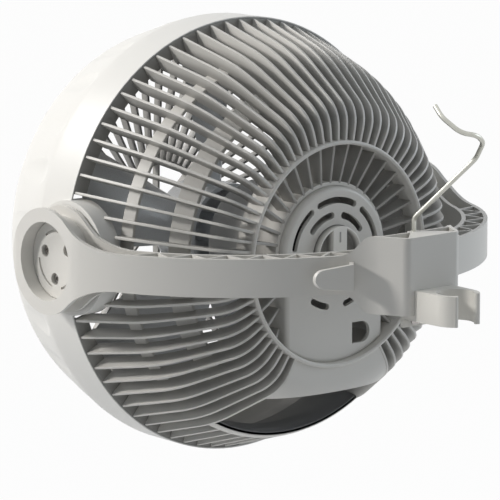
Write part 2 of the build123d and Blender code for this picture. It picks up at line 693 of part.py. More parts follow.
with BuildPart() as rear_grille:
    with BuildSketch(level(0)):
        with BuildLine():
            Polyline((RIM_R, 0), (RIM_R, -RIM_DEPTH), (RIM_INNER_R, -RIM_DEPTH), (RIM_INNER_R, 0), close=True)
        make_face()
        with Locations((RING_R, (RING_FRONT + RING_REAR) / 2)):
            Rectangle(RING_WIDTH, RING_REAR - RING_FRONT)
        with Locations((COVER_R + SEAT + HUB_RING_WALL / 2, (PLATE_FACE + COVER_FACE - SPOKE_SLOPE) / 2)):
            Rectangle(HUB_RING_WALL, COVER_FACE - SPOKE_SLOPE - PLATE_FACE)
    revolve(axis=FAN_AXIS)
    with BuildSketch(radial(mouth_end)):
        for start, end in BANDS:
            with BuildLine():
                Line((start[0], start[1] + BAND_SINK), (end[0], end[1] + BAND_SINK))
            trace(line_width=BAND_THICKNESS)
    revolve(axis=FAN_AXIS, revolution_arc=360 - 2 * MOUTH_HALF_ANGLE)
    with BuildSketch(radial(mouth_start)):
        with BuildLine():
            Polyline(
                (dome_radius(MOUTH_RIM[0]), MOUTH_RIM[0]),
                (dome_radius(MOUTH_RIM[1]), MOUTH_RIM[1]),
                (dome_radius(MOUTH_RIM[1]) - MOUTH_RIM_WALL, MOUTH_RIM[1]),
                (dome_radius(MOUTH_RIM[0]) - MOUTH_RIM_WALL, MOUTH_RIM[0]),
                close=True,
            )
        make_face()
    revolve(axis=FAN_AXIS, revolution_arc=2 * MOUTH_HALF_ANGLE)
    with BuildSketch(*[radial(angle) for angle in long_fins]):
        add(dome_section(fin_inner))
    extrude(amount=FIN_THICKNESS / 2, both=True)
    with BuildSketch(*[radial(angle) for angle in short_fins]):
        with BuildLine():
            Polyline(
                (RIM_R, 0),
                (dome_radius(MOUTH_RIM[0] + BAND_THICKNESS), MOUTH_RIM[0] + BAND_THICKNESS),
                (dome_radius(MOUTH_RIM[0]) - MOUTH_RIM_WALL, MOUTH_RIM[0] + BAND_THICKNESS),
                (RIM_INNER_R - MOUTH_RIM_WALL, 0),
                close=True,
            )
        make_face()
    extrude(amount=FIN_THICKNESS / 2, both=True)
    with BuildSketch(*[radial(angle) for angle in spokes]):
        with BuildLine():
            Polyline(
                (COVER_R + HUB_RING_WALL / 2, COVER_FACE - SPOKE_SLOPE),
                (RING_R, COVER_FACE - 2 * SPOKE_SLOPE),
                (RING_R, RING_FRONT),
                (COVER_R + HUB_RING_WALL / 2, RING_FRONT),
                close=True,
            )
        make_face()
    extrude(amount=FIN_THICKNESS / 2, both=True)
    add(chin.part)
    with BuildSketch(behind(PLATE_FACE + PLATE_BOSS_LENGTH)):
        with Locations(*plate_screw_spots):
            Circle(PLATE_BOSS_R)
    extrude(amount=PLATE_BOSS_LENGTH - SEAT)
    with BuildSketch(behind(PLATE_FACE + PLATE_BOSS_LENGTH - SCREW_R)):
        with Locations(*plate_screw_spots):
            Circle(SCREW_R + RUN)
    extrude(amount=PLATE_BOSS_LENGTH, mode=Mode.SUBTRACT)
    with BuildSketch(behind(COVER_FACE + SEAT)):
        Circle(COVER_R + SEAT)
        with Locations((0, -RING_R / 2)):
            Rectangle(2 * (COVER_HALF + SEAT), RING_R, align=(Align.CENTER, Align.CENTER))
        Circle(RING_R - RING_WIDTH / 2, mode=Mode.INTERSECT)
    extrude(amount=COVER_FACE, mode=Mode.SUBTRACT)
    with BuildSketch(side(BOSS_INNER - BOSS_EDGE), side(-SHROUD_R)):
        Circle(BOSS_R + BOSS_EDGE)
    extrude(amount=SHROUD_R - BOSS_INNER + BOSS_EDGE, mode=Mode.SUBTRACT)
rear_grille.part.label = "rear_grille"
export_step(rear_grille.part, "parts/rear_grille.step")

# ---- rear cover: a disc with vents over the motor, and the panel below it for the wiring ---------

with BuildPart() as rear_cover:
    with BuildSketch(behind(COVER_FACE)) as cover_plan:
        with Locations((0, -RING_R / 2)):
            Rectangle(2 * COVER_HALF, RING_R)
        Circle(COVER_R)
        Circle(RING_R - RING_WIDTH / 2 - SEAT, mode=Mode.INTERSECT)
    extrude(amount=COVER_FACE - PLATE_FACE - SEAT)
    fillet(rear_cover.faces().sort_by(Axis.Y)[-1].edges(), COVER_EDGE_R)
    with BuildSketch(behind(COVER_FACE - COVER_WALL)):
        with Locations((0, -RING_R / 2)):
            Rectangle(2 * (COVER_HALF - COVER_WALL), RING_R)
        Circle(COVER_R - COVER_WALL)
        Circle(RING_R - RING_WIDTH / 2 - SEAT - COVER_WALL, mode=Mode.INTERSECT)
    extrude(amount=COVER_FACE, mode=Mode.SUBTRACT)
    with BuildSketch(behind(COVER_FACE)):
        for start, sweep_angle in VENTS:
            with BuildLine():
                vent = CenterArc((0, 0), VENT_R, start, sweep_angle)
            SlotArc(vent, VENT_WIDTH)
        for start, sweep_angle in INNER_VENTS:
            with BuildLine():
                vent = CenterArc((0, 0), INNER_VENT_R, start, sweep_angle)
            SlotArc(vent, INNER_VENT_WIDTH)
        with Locations((INLET_X, INLET_Z)):
            Circle(INLET_R)
            Rectangle(INLET_FLAT, 2 * INLET_R, align=(Align.MIN, Align.CENTER))
        Circle(KNOB_R + GAP)
    extrude(amount=COVER_WALL + COVER_EDGE_R, mode=Mode.SUBTRACT)
    with BuildSketch(behind(COVER_FACE - COVER_WALL)):
        Circle(KNOB_R + GAP + COVER_WALL)
    extrude(amount=KNOB_BASE)
    with BuildSketch(behind(COVER_FACE)):
        Circle(KNOB_R + GAP)
    extrude(amount=KNOB_BASE, mode=Mode.SUBTRACT)
    with BuildSketch(behind(COVER_FACE)):
        Circle(SPINDLE_R + RUN + SEAT)
    extrude(amount=COVER_FACE, mode=Mode.SUBTRACT)
rear_cover.part.label = "rear_cover"
export_step(rear_cover.part, "parts/rear_cover.step")

# ---- speed knob, and the rotary switch behind it -------------------------------------------------

WELL_FLOOR = COVER_FACE - KNOB_BASE
SWITCH_FACE = WELL_FLOOR - COVER_WALL
with BuildPart() as speed_knob:
    with BuildSketch(behind(KNOB_FACE)):
        Circle(KNOB_R)
    extrude(amount=KNOB_FACE - WELL_FLOOR - SWITCH_NUT_DEPTH - GAP)
    with BuildSketch(behind(KNOB_FACE)):
        Circle(KNOB_R - KNOB_RIM)
        Rectangle(2 * KNOB_GRIP_HALF, 2 * KNOB_R, mode=Mode.SUBTRACT)
    extrude(amount=KNOB_SCOOP, mode=Mode.SUBTRACT, taper=KNOB_DRAFT)
    with BuildSketch(behind(WELL_FLOOR + SWITCH_NUT_DEPTH + GAP)):
        Circle(SPINDLE_R)
    extrude(amount=-KNOB_BASE / 2, mode=Mode.SUBTRACT)
speed_knob.part.label = "speed_knob"
export_step(speed_knob.part, "parts/speed_knob.step")

with BuildPart() as switch_spindle:
    with BuildSketch(behind(WELL_FLOOR + SWITCH_NUT_DEPTH + GAP + KNOB_BASE / 2)):
        Circle(SPINDLE_R)
    extrude(amount=SWITCH_NUT_DEPTH + GAP + KNOB_BASE / 2 + COVER_WALL + SWITCH_DEPTH / 2)
switch_spindle.part.label = "switch_spindle"
export_step(switch_spindle.part, "parts/switch_spindle.step")

with BuildPart() as speed_switch:
    with BuildSketch(behind(SWITCH_FACE - SEAT)):
        RectangleRounded(SWITCH_SIZE, SWITCH_SIZE, SCREW_R)
    extrude(amount=SWITCH_DEPTH)
    with BuildSketch(behind(SWITCH_FACE - SEAT)):
        Circle(SPINDLE_R + RUN)
    extrude(amount=SWITCH_DEPTH / 2 + SEAT + GAP, mode=Mode.SUBTRACT)
speed_switch.part.label = "speed_switch"
export_step(speed_switch.part, "parts/speed_switch.step")

with BuildPart() as switch_nut:
    with BuildSketch(behind(WELL_FLOOR + SWITCH_NUT_DEPTH)):
        RegularPolygon(SWITCH_NUT_R, 6)
        Circle(SPINDLE_R + RUN, mode=Mode.SUBTRACT)
    extrude(amount=SWITCH_NUT_DEPTH)
switch_nut.part.label = "switch_nut"
export_step(switch_nut.part, "parts/switch_nut.step")

with BuildPart() as terminal_block:
    with BuildSketch(behind(COVER_FACE - COVER_WALL - SEAT)):
        with Locations((TERMINAL_X, INLET_Z)):
            RectangleRounded(TERMINAL_WIDTH, TERMINAL_HEIGHT, SCREW_R)
    extrude(amount=TERMINAL_DEPTH)
terminal_block.part.label = "terminal_block"
export_step(terminal_block.part, "parts/terminal_block.step")

# ---- motor: a plate across the grille's hub, and the motor hung in front of it -------------------

motor_screw_spots = [polar(MOTOR_SCREW_PCD / 2, angle) for angle in (0, 90, 180, 270)]

with BuildPart() as motor_plate:
    with BuildSketch(behind(PLATE_FACE)):
        Circle(PLATE_R)
        Circle(PLATE_BORE_R, mode=Mode.SUBTRACT)
        with Locations(*plate_screw_spots, *motor_screw_spots):
            Circle(SCREW_R + RUN, mode=Mode.SUBTRACT)
    extrude(amount=PLATE_THICKNESS)
motor_plate.part.label = "motor_plate"
export_step(motor_plate.part, "parts/motor_plate.step")

with BuildPart() as motor_can:
    with BuildSketch(behind(MOTOR_REAR)):
        Circle(MOTOR_R)
    extrude(amount=MOTOR_LENGTH)
    fillet(motor_can.edges().filter_by(GeomType.CIRCLE).sort_by(Axis.Y)[0], MOTOR_EDGE_R)
    with BuildSketch(behind(MOTOR_REAR - MOTOR_WALL)):
        Circle(MOTOR_R - MOTOR_WALL)
    extrude(amount=MOTOR_LENGTH - 2 * MOTOR_WALL, mode=Mode.SUBTRACT)
    with BuildSketch(behind(MOTOR_REAR), behind(MOTOR_FRONT + BEARING_LENGTH)):
        Circle(BEARING_R + MOTOR_WALL)
    extrude(amount=BEARING_LENGTH)
    with BuildSketch(behind(MOTOR_REAR)):
        Circle(BEARING_R)
    extrude(amount=MOTOR_LENGTH, mode=Mode.SUBTRACT)
    with BuildSketch(behind(MOTOR_REAR)):
        with Locations(*motor_screw_spots):
            Circle(SCREW_R + RUN)
    extrude(amount=SCREW_BITE, mode=Mode.SUBTRACT)
motor_can.part.label = "motor_can"
export_step(motor_can.part, "parts/motor_can.step")

with BuildPart() as motor_bearings:
    with BuildSketch(behind(MOTOR_REAR), behind(MOTOR_FRONT + BEARING_LENGTH)):
        Circle(BEARING_R)
        Circle(SHAFT_R + RUN, mode=Mode.SUBTRACT)
    extrude(amount=BEARING_LENGTH)
motor_bearings.part.label = "motor_bearings"
export_step(motor_bearings.part, "parts/motor_bearings.step")

with BuildPart() as stator_core:
    with BuildSketch(behind(MOTOR_MIDDLE + STATOR_LENGTH / 2)):
        Circle(MOTOR_R - MOTOR_WALL - SEAT)
        Circle(STATOR_BORE_R, mode=Mode.SUBTRACT)
    extrude(amount=STATOR_LENGTH)
stator_core.part.label = "stator_core"
export_step(stator_core.part, "parts/stator_core.step")

with BuildPart() as rotor_core:
    with BuildSketch(behind(MOTOR_MIDDLE + STATOR_LENGTH / 2)):
        Circle(STATOR_BORE_R - AIR_GAP)
        Circle(SHAFT_R, mode=Mode.SUBTRACT)
    extrude(amount=STATOR_LENGTH)
rotor_core.part.label = "rotor_core"
export_step(rotor_core.part, "parts/rotor_core.step")

with BuildPart() as motor_screws:
    for across, up in motor_screw_spots:
        head = PIVOT + Vector(across, PLATE_FACE, up)
        add(star_screw(Plane(origin=head, x_dir=(1, 0, 0), z_dir=(0, 1, 0))))
motor_screws.part.label = "motor_screws"
export_step(motor_screws.part, "parts/motor_screws.step")

with BuildPart() as plate_screws:
    for across, up in plate_screw_spots:
        head = PIVOT + Vector(across, PLATE_FACE - PLATE_THICKNESS, up)
        add(star_screw(Plane(origin=head, x_dir=(1, 0, 0), z_dir=(0, -1, 0))))
plate_screws.part.label = "plate_screws"
export_step(plate_screws.part, "parts/plate_screws.step")

# ---- rotor: shaft, five twisted blades on a hub, and the nut that holds them ---------------------

with BuildPart() as motor_shaft:
    with BuildSketch(behind(MOTOR_REAR - SEAT)):
        Circle(SHAFT_R)
    extrude(amount=MOTOR_REAR - SEAT - BLADE_HUB_FRONT + NUT_DEPTH)
motor_shaft.part.label = "motor_shaft"
export_step(motor_shaft.part, "parts/motor_shaft.step")


def blade_plane(angle, radius, pitch):
    """A plane square to a blade's length, turned by the pitch there."""
    frame = radial(angle)
    outwards, back = frame.x_dir, Vector(0, 1, 0)
    chord = back.cross(outwards) * cos(radians(pitch)) + back * sin(radians(pitch))
    return Plane(origin=PIVOT + outwards * radius + back * BLADE_Y, x_dir=chord, z_dir=outwards)


with BuildPart() as fan_blade:
    with BuildSketch(level(0)):
        with BuildLine():
            hub_line = FilletPolyline(
                (BLADE_HUB_R, BLADE_HUB_REAR),
                (BLADE_HUB_R, BLADE_HUB_FRONT),
                (SHAFT_R + RUN, BLADE_HUB_FRONT),
                radius=BLADE_HUB_EDGE_R,
            )
            Polyline(hub_line @ 1, (0, BLADE_HUB_FRONT), (0, BLADE_HUB_REAR), hub_line @ 0)
        make_face()
    revolve(axis=FAN_AXIS)
    with BuildSketch(behind(BLADE_HUB_REAR)):
        Circle(BLADE_HUB_R - BLADE_HUB_WALL)
        Circle(BLADE_BOSS_R, mode=Mode.SUBTRACT)
    extrude(amount=BLADE_HUB_REAR - BLADE_HUB_FRONT - BLADE_HUB_EDGE_R, mode=Mode.SUBTRACT)
    for k in range(BLADES):
        for radius, chord, pitch, thickness in BLADE_SECTIONS:
            with BuildSketch(blade_plane(90 + k * 360 / BLADES, radius, pitch)):
                with BuildLine():
                    camber = chord * BLADE_CAMBER
                    ThreePointArc((-chord / 2, 0), (0, camber), (chord / 2, 0))
                    ThreePointArc((-chord / 2, 0), (0, camber + thickness), (chord / 2, 0))
                make_face()
        loft()
    with BuildSketch(behind(0)):
        Circle(SHAFT_R + RUN)
    extrude(amount=-BLADE_HUB_FRONT, mode=Mode.SUBTRACT)
fan_blade.part.label = "fan_blade"
export_step(fan_blade.part, "parts/fan_blade.step")

with BuildPart() as blade_nut:
    with BuildSketch(behind(BLADE_HUB_FRONT - SEAT)):
        Circle(NUT_R)
    extrude(amount=NUT_DEPTH + SHAFT_R)
    fillet(blade_nut.edges().filter_by(GeomType.CIRCLE).sort_by(Axis.Y)[0], SHAFT_R)
    with BuildSketch(behind(BLADE_HUB_FRONT)):
        Circle(SHAFT_R + RUN)
    extrude(amount=NUT_DEPTH + RUN, mode=Mode.SUBTRACT)
blade_nut.part.label = "blade_nut"
export_step(blade_nut.part, "parts/blade_nut.step")

# ---- front grille: thin plates standing edge on between two rings, and a blank cap ---------------

FRONT_RING_FACE = -(SHROUD_LIP_Y - LIP_FLANGE - SEAT)


def front_face(radius):
    """How far forward the grille's face lies at a radius: it bulges towards the middle."""
    return FRONT_RING_FACE - FRONT_BULGE * (1 - (radius / LIP_INNER_R) ** 2)


def front_plate(outer, inner):
    """A grille plate's outline between two radii."""
    with BuildSketch(mode=Mode.PRIVATE) as outline:
        with BuildLine():
            middle = (outer + inner) / 2
            face = ThreePointArc(
                (outer, front_face(outer)), (middle, front_face(middle)), (inner, front_face(inner))
            )
            Polyline(
                face @ 1,
                (inner, front_face(inner) + FRONT_PLATE_DEPTH),
                (outer, front_face(outer) + FRONT_PLATE_DEPTH),
                face @ 0,
            )
        make_face()
    return outline.sketch_local


with BuildPart() as front_grille:
    with BuildSketch(level(0)):
        with Locations((FRONT_RING_R, FRONT_RING_FACE + FRONT_RING_DEPTH / 2)):
            Rectangle(FRONT_RING_WIDTH, FRONT_RING_DEPTH)
        with Locations((FRONT_INNER_R, front_face(FRONT_INNER_R) + FRONT_RING_DEPTH / 2)):
            Rectangle(FRONT_INNER_WIDTH, FRONT_RING_DEPTH)
        with Locations((FRONT_CAP_R / 2, front_face(0) + FRONT_RING_DEPTH / 2 + FRONT_CAP_THICKNESS)):
            Rectangle(FRONT_CAP_R, FRONT_RING_DEPTH)
    revolve(axis=FAN_AXIS)
    with BuildSketch(*[radial(90 + k * 360 / FRONT_PLATES) for k in range(FRONT_PLATES)]):
        add(front_plate(FRONT_RING_R, FRONT_INNER_R))
    extrude(amount=FRONT_PLATE_THICKNESS / 2, both=True)
    with BuildSketch(*[radial(90 + k * 360 / FRONT_SPOKES) for k in range(FRONT_SPOKES)]):
        add(front_plate(FRONT_INNER_R, FRONT_CAP_R / 2))
    extrude(amount=FRONT_PLATE_THICKNESS / 2, both=True)
    with BuildSketch(behind(front_face(0) + FRONT_CAP_THICKNESS)):
        Circle(FRONT_CAP_R + SEAT)
    extrude(amount=FRONT_RING_DEPTH, mode=Mode.SUBTRACT)
front_grille.part.label = "front_grille"
export_step(front_grille.part, "parts/front_grille.step")

with BuildPart() as front_cap:
    with BuildSketch(behind(front_face(0) + FRONT_CAP_THICKNESS)):
        Circle(FRONT_CAP_R)
    extrude(amount=FRONT_CAP_THICKNESS)
    fillet(front_cap.edges().filter_by(GeomType.CIRCLE).sort_by(Axis.Y)[0], FRONT_CAP_THICKNESS / 2)
front_cap.part.label = "front_cap"
export_step(front_cap.part, "parts/front_cap.step")
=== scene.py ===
import json
from math import acos, asin, cos, degrees, pi, radians, sin, sqrt, tan

import bmesh
import bpy
from mathutils import Matrix, Vector

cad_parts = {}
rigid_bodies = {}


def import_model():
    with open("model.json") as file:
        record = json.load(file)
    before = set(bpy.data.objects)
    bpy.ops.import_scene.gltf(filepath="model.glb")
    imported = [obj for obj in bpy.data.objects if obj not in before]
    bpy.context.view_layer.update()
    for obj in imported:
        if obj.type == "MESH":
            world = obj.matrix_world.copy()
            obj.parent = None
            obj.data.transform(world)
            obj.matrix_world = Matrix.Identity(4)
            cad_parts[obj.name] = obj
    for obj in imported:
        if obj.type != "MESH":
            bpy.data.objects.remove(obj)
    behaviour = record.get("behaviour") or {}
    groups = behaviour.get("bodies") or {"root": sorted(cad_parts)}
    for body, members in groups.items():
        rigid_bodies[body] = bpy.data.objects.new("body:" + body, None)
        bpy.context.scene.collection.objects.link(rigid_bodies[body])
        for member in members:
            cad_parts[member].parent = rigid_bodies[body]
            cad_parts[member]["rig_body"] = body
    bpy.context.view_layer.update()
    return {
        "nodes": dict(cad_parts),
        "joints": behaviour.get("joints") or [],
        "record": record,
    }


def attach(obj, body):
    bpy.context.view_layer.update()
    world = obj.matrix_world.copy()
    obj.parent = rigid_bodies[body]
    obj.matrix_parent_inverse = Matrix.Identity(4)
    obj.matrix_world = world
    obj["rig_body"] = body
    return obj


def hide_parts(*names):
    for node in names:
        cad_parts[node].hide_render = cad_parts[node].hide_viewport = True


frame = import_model()

# The clip fan's looks: its mouldings with softened edges, its dome of fins, and its finishes.
# The origin is on the axis of the clip's grip, and +Z runs up along it. The fan's sizes are in
# millimetres, which MM turns into Blender's metres. The lamps and the floor are placed in metres.

MM = 0.001

# ---- places read from the frame ------------------------------------------------------------------

JOINTS = {joint["name"]: joint for joint in frame["joints"]}
PIVOT = Vector(JOINTS["head_tilt"]["pos_m"])
SLOT_OF = {row["node"]: row["material_slot"] for row in frame["record"]["subparts"]}

# ---- camera: a long lens behind the fan, a little above it -----------------------------------------

VIEW_AZIMUTH = 140.221
VIEW_ELEVATION = 10.1302
VIEW_DISTANCE = 2168.69 * MM
VIEW_LIMIT = 20.0
SENSOR = 36.0
FRAME_PIXELS = 500
FOCAL_PIXELS = 4068.70
SHIFT_PIXELS = Vector((10.629, -16.327))


def make_camera():
    azimuth, elevation = radians(VIEW_AZIMUTH), radians(VIEW_ELEVATION)
    back = Vector((sin(azimuth) * cos(elevation), -cos(azimuth) * cos(elevation), sin(elevation)))
    right = Vector((0, 0, 1)).cross(back).normalized()
    up = back.cross(right)
    aside = SHIFT_PIXELS * (VIEW_DISTANCE / FOCAL_PIXELS)
    data = bpy.data.cameras.new("camera")
    data.sensor_width = SENSOR
    data.lens = SENSOR * FOCAL_PIXELS / FRAME_PIXELS
    data.clip_end = VIEW_LIMIT
    camera = bpy.data.objects.new("camera", data)
    place = PIVOT + back * VIEW_DISTANCE + right * aside.x + up * aside.y
    turn = Matrix((right, up, back)).transposed().to_4x4()
    camera.matrix_world = Matrix.Translation(place) @ turn
    bpy.context.scene.collection.objects.link(camera)
    bpy.context.scene.camera = camera


# ---- shader maths ---------------------------------------------------------------------------------


class Value:
    """A node's output that takes part in arithmetic."""

    def __init__(self, finish, socket):
        self.finish, self.socket = finish, socket

    def __add__(self, other):
        return self.finish.maths("ADD", self, other)

    def __sub__(self, other):
        return self.finish.maths("SUBTRACT", self, other)

    def __rsub__(self, other):
        return self.finish.maths("SUBTRACT", other, self)

    def __mul__(self, other):
        return self.finish.maths("MULTIPLY", self, other)

    def __gt__(self, other):
        return self.finish.maths("GREATER_THAN", self, other)

    def __lt__(self, other):
        return self.finish.maths("LESS_THAN", self, other)

    __radd__ = __add__
    __rmul__ = __mul__


class Finish:
    """A material whose nodes are added one call at a time."""

    def __init__(self, name):
        self.material = bpy.data.materials.new(name)
        self.material.use_nodes = True
        self.tree = self.material.node_tree
        self.shader = self.tree.nodes["Principled BSDF"]

    def node(self, kind, settings=None, inputs=None, output=0):
        node = self.tree.nodes.new(kind)
        for key, value in (settings or {}).items():
            setattr(node, key, value)
        for key, value in (inputs or {}).items():
            self.feed(node.inputs[key], value)
        return Value(self, node.outputs[output])

    def feed(self, socket, value):
        if isinstance(value, Value):
            self.tree.links.new(value.socket, socket)
        else:
            socket.default_value = value

    def set(self, **values):
        for name, value in values.items():
            self.feed(self.shader.inputs[name.replace("_", " ")], value)

    def maths(self, operation, first, second):
        return self.node("ShaderNodeMath", {"operation": operation}, {0: first, 1: second})

    def vectors(self, operation, first, second=(0.0, 0.0, 0.0), output="Vector"):
        return self.node("ShaderNodeVectorMath", {"operation": operation}, {0: first, 1: second}, output)

    def place(self):
        return self.node("ShaderNodeTexCoord", output="Object")

    def normal(self):
        return self.node("ShaderNodeTexCoord", output="Normal")

    def along_y(self, vector):
        return self.node("ShaderNodeSeparateXYZ", inputs={0: vector}, output="Y")

    def noise(self, scale, detail):
        inputs = {"Vector": self.place(), "Scale": scale, "Detail": detail}
        return self.node("ShaderNodeTexNoise", inputs=inputs)

    def blend(self, factor, low, high):
        return self.node("ShaderNodeMix", {"data_type": "RGBA"}, {0: factor, 6: low, 7: high}, 2)

    def smooth_step(self, value, start, end):
        """None up to the start, one from the end on, and smooth between them."""
        inputs = {"Value": value, "From Min": start, "From Max": end}
        return self.node("ShaderNodeMapRange", {"interpolation_type": "SMOOTHSTEP"}, inputs)

    def bump(self, height, strength, distance):
        inputs = {"Height": height, "Strength": strength, "Distance": distance}
        return self.node("ShaderNodeBump", inputs=inputs)


def rgb(red, green, blue):
    return (red, green, blue, 1.0)


def shade(colour, factor):
    return rgb(*(channel * factor for channel in colour[:3]))


# ---- where a moulding gets painted shade, drawn darker: masks from none to one ----------------------

FIN_SKIN_R = 110.0              # from the pivot to the dome's skin, on the whole
RING_REAR = 82.0                # rear face of the ring, behind the pivot
FIN_SHADE = (0.5, 6.0)          # how far below the skin the painted shade starts and is full
KNOB_FACE = 82.0                # rear face of the knob's grip, behind the pivot
SCOOP_SHADE = (0.6, 4.0)        # the same for the painted shade in the knob's hollows, below its face
FRONT_FACING = -0.6             # a normal's Y, up to which a surface faces forwards; turned further, it gets painted shade


def from_pivot(finish):
    return finish.vectors("SUBTRACT", finish.place(), tuple(PIVOT))


def painted_shade_inside(finish):
    """Painted shade: one on surfaces that face the pivot, such as the inside of the bowl."""
    return finish.vectors("DOT_PRODUCT", finish.normal(), from_pivot(finish), "Value") < 0.0


def painted_shade_between_fins(finish):
    """Painted shade: none at the dome's skin, and one from a few millimetres below it."""
    place = from_pivot(finish)
    reach = finish.vectors("LENGTH", place, output="Value")
    below_skin = finish.maths("MINIMUM", FIN_SKIN_R * MM - reach, RING_REAR * MM - finish.along_y(place))
    start, end = FIN_SHADE
    return finish.smooth_step(below_skin, start * MM, end * MM)


def painted_shade_off_front(finish):
    """Painted shade: one on surfaces that don't face forwards."""
    return finish.along_y(finish.normal()) > FRONT_FACING


def painted_shade_in_scoops(finish):
    """Painted shade: none on the knob's grip and rim, and one from a few millimetres below its face."""
    start, end = SCOOP_SHADE
    below_face = (PIVOT.y + KNOB_FACE * MM) - finish.along_y(finish.place())
    return finish.smooth_step(below_face, start * MM, end * MM)


# ---- finishes -------------------------------------------------------------------------------------

FLOW_SCALE, FLOW_DETAIL = 14.0, 3.0
FLOW_SHADES = (0.965, 1.03)
FLOW_SHEEN = 0.10
GRAIN_SCALE, GRAIN_DETAIL = 2600.0, 2.0
GRAIN_SHEEN = 0.06
GRAIN_HEIGHT = 0.15 * MM

SCRATCH_DETAIL = 4.0
SCRATCH_SHADES = (0.88, 1.1)
SCRATCH_SHEEN = 0.18
SCRATCH_STRENGTH = 0.15
SCRATCH_HEIGHT = 0.08 * MM


def moulded(name, colour, roughness, grain=0.12, coat=0.0, painted_shade=None, painted_shade_level=1.0):
    """Satin moulded plastic: a fine spark-eroded grain, faint flow marks and slightly uneven sheen; a mask
    for painted shade, if given, darkens its colour there.
    """
    finish = Finish(name)
    flow = finish.noise(FLOW_SCALE, FLOW_DETAIL)
    grains = finish.noise(GRAIN_SCALE, GRAIN_DETAIL)
    skin = finish.blend(flow, *(shade(colour, factor) for factor in FLOW_SHADES))
    # painted shade: the colour is drawn darker where the mask is one
    if painted_shade:
        skin = finish.blend(painted_shade(finish), skin, shade(colour, painted_shade_level))
    smoothest = roughness - (FLOW_SHEEN + GRAIN_SHEEN) / 2
    finish.set(
        Base_Color=skin,
        Roughness=flow * FLOW_SHEEN + grains * GRAIN_SHEEN + smoothest,
        Normal=finish.bump(grains, grain, GRAIN_HEIGHT),
        Coat_Weight=coat,
    )
    return finish.material


def machined(name, colour, roughness, scratches=900.0):
    """Metal with a fine drawn grain."""
    finish = Finish(name)
    grains = finish.noise(scratches, SCRATCH_DETAIL)
    finish.set(
        Base_Color=finish.blend(grains, *(shade(colour, factor) for factor in SCRATCH_SHADES)),
        Metallic=1.0,
        Roughness=grains * SCRATCH_SHEEN + (roughness - SCRATCH_SHEEN / 2),
        Normal=finish.bump(grains, SCRATCH_STRENGTH, SCRATCH_HEIGHT),
    )
    return finish.material


BODY_COLOUR = rgb(0.66, 0.645, 0.61)
SHROUD_COLOUR = rgb(0.74, 0.73, 0.70)
CLIP_COLOUR = rgb(0.73, 0.71, 0.66)

# the finish of each material slot

FINISHES = {
    "body_plastic": moulded("satin warm grey plastic", BODY_COLOUR, 0.42),
    # painted shade: the shroud's inner faces drawn at half its colour
    "shroud_plastic": moulded("satin pale shroud plastic", SHROUD_COLOUR, 0.38, painted_shade=painted_shade_inside, painted_shade_level=0.5),
    "clip_plastic": moulded("tough clip plastic", CLIP_COLOUR, 0.40),
    "blade_plastic": moulded("grey blade plastic", rgb(0.66, 0.67, 0.675), 0.26, grain=0.03, coat=0.2),
    "washer_plastic": moulded("dark washer plastic", rgb(0.03, 0.03, 0.032), 0.5),
    "switch_plastic": moulded("black switch plastic", rgb(0.015, 0.015, 0.016), 0.45),
    "screw_steel": machined("dark zinc screw", rgb(0.40, 0.385, 0.37), 0.17),
    "wire_steel": machined("plated wire", rgb(0.50, 0.50, 0.455), 0.38, 500.0),
    "motor_metal": moulded("painted motor case", rgb(0.52, 0.515, 0.50), 0.4),
    "bearing_steel": machined("ground bearing steel", rgb(0.62, 0.63, 0.65), 0.2),
    "core_iron": machined("stacked core sheets", rgb(0.20, 0.20, 0.21), 0.45, 1500.0),
}

# finishes of single pieces, and of parts of the dome; most of them carry painted shade

# painted shade on the fins' sides, darker below the dome's skin
FIN_PLASTIC = moulded("satin fin plastic", BODY_COLOUR, 0.40, painted_shade=painted_shade_between_fins, painted_shade_level=0.56)
# painted shade: the lip wall inside the mouth drawn near black
LIP_PAINTED_SHADE = moulded("smooth dark lip plastic", rgb(0.17, 0.173, 0.178), 0.30, grain=0.05)
# painted shade: the rim and its ledge drawn at half the body's colour
RIM_PAINTED_SHADE = moulded("satin rim plastic", shade(BODY_COLOUR, 0.5), 0.40)
# painted shade on the grille plates' faces that don't face forwards
PLATE_PLASTIC = moulded("satin plate plastic", BODY_COLOUR, 0.40, painted_shade=painted_shade_off_front, painted_shade_level=0.5)
# painted shade in the knob's hollows beside its grip
KNOB_PLASTIC = moulded(
    "satin knob plastic", shade(BODY_COLOUR, 1.2), 0.36, grain=0.08, painted_shade=painted_shade_in_scoops, painted_shade_level=0.3
)
MARK_PAINT = moulded("grey pointer paint", rgb(0.36, 0.355, 0.34), 0.5)

OWN_FINISHES = {
    "rear_grille": (FIN_PLASTIC, FINISHES["body_plastic"], LIP_PAINTED_SHADE, RIM_PAINTED_SHADE),
    "front_grille": (PLATE_PLASTIC,),
    "speed_knob": (KNOB_PLASTIC,),
}


def dress_nodes():
    """Gives every node of the construction the finish of its slot."""
    for node in frame["nodes"].values():
        node.data.materials.clear()
        node.data.materials.append(FINISHES[SLOT_OF[node.name]])


# ---- mouldings: the construction's own shapes with softened edges ------------------------------------

SHARP_ANGLE = 42.0
CORNER_ANGLE = 28.0
FLAT_ANGLE = 0.6
MERGE_DISTANCE = 0.002

# node, the name of the piece that takes its place, the edge's radius and the segments round it

MOULDINGS = (
    ("yoke", "yoke_moulding", 0.5, 2),
    ("cord_hook", "cord_tongue", 0.6, 3),
    ("pole_clip", "spring_clip", 0.5, 2),
    ("front_shroud", "shroud_bowl", 0.5, 2),
    ("front_grille", "front_grille_plates", 0.25, 1),
    ("rear_cover", "motor_cover", 0.35, 2),
    ("pivot_cap_left", "left_pivot_disc", 0.15, 2),
    ("pivot_cap_right", "right_pivot_disc", 0.15, 2),
    ("speed_knob", "knob_cup", 0.35, 2),
    ("motor_can", "motor_case", 0.3, 1),
)


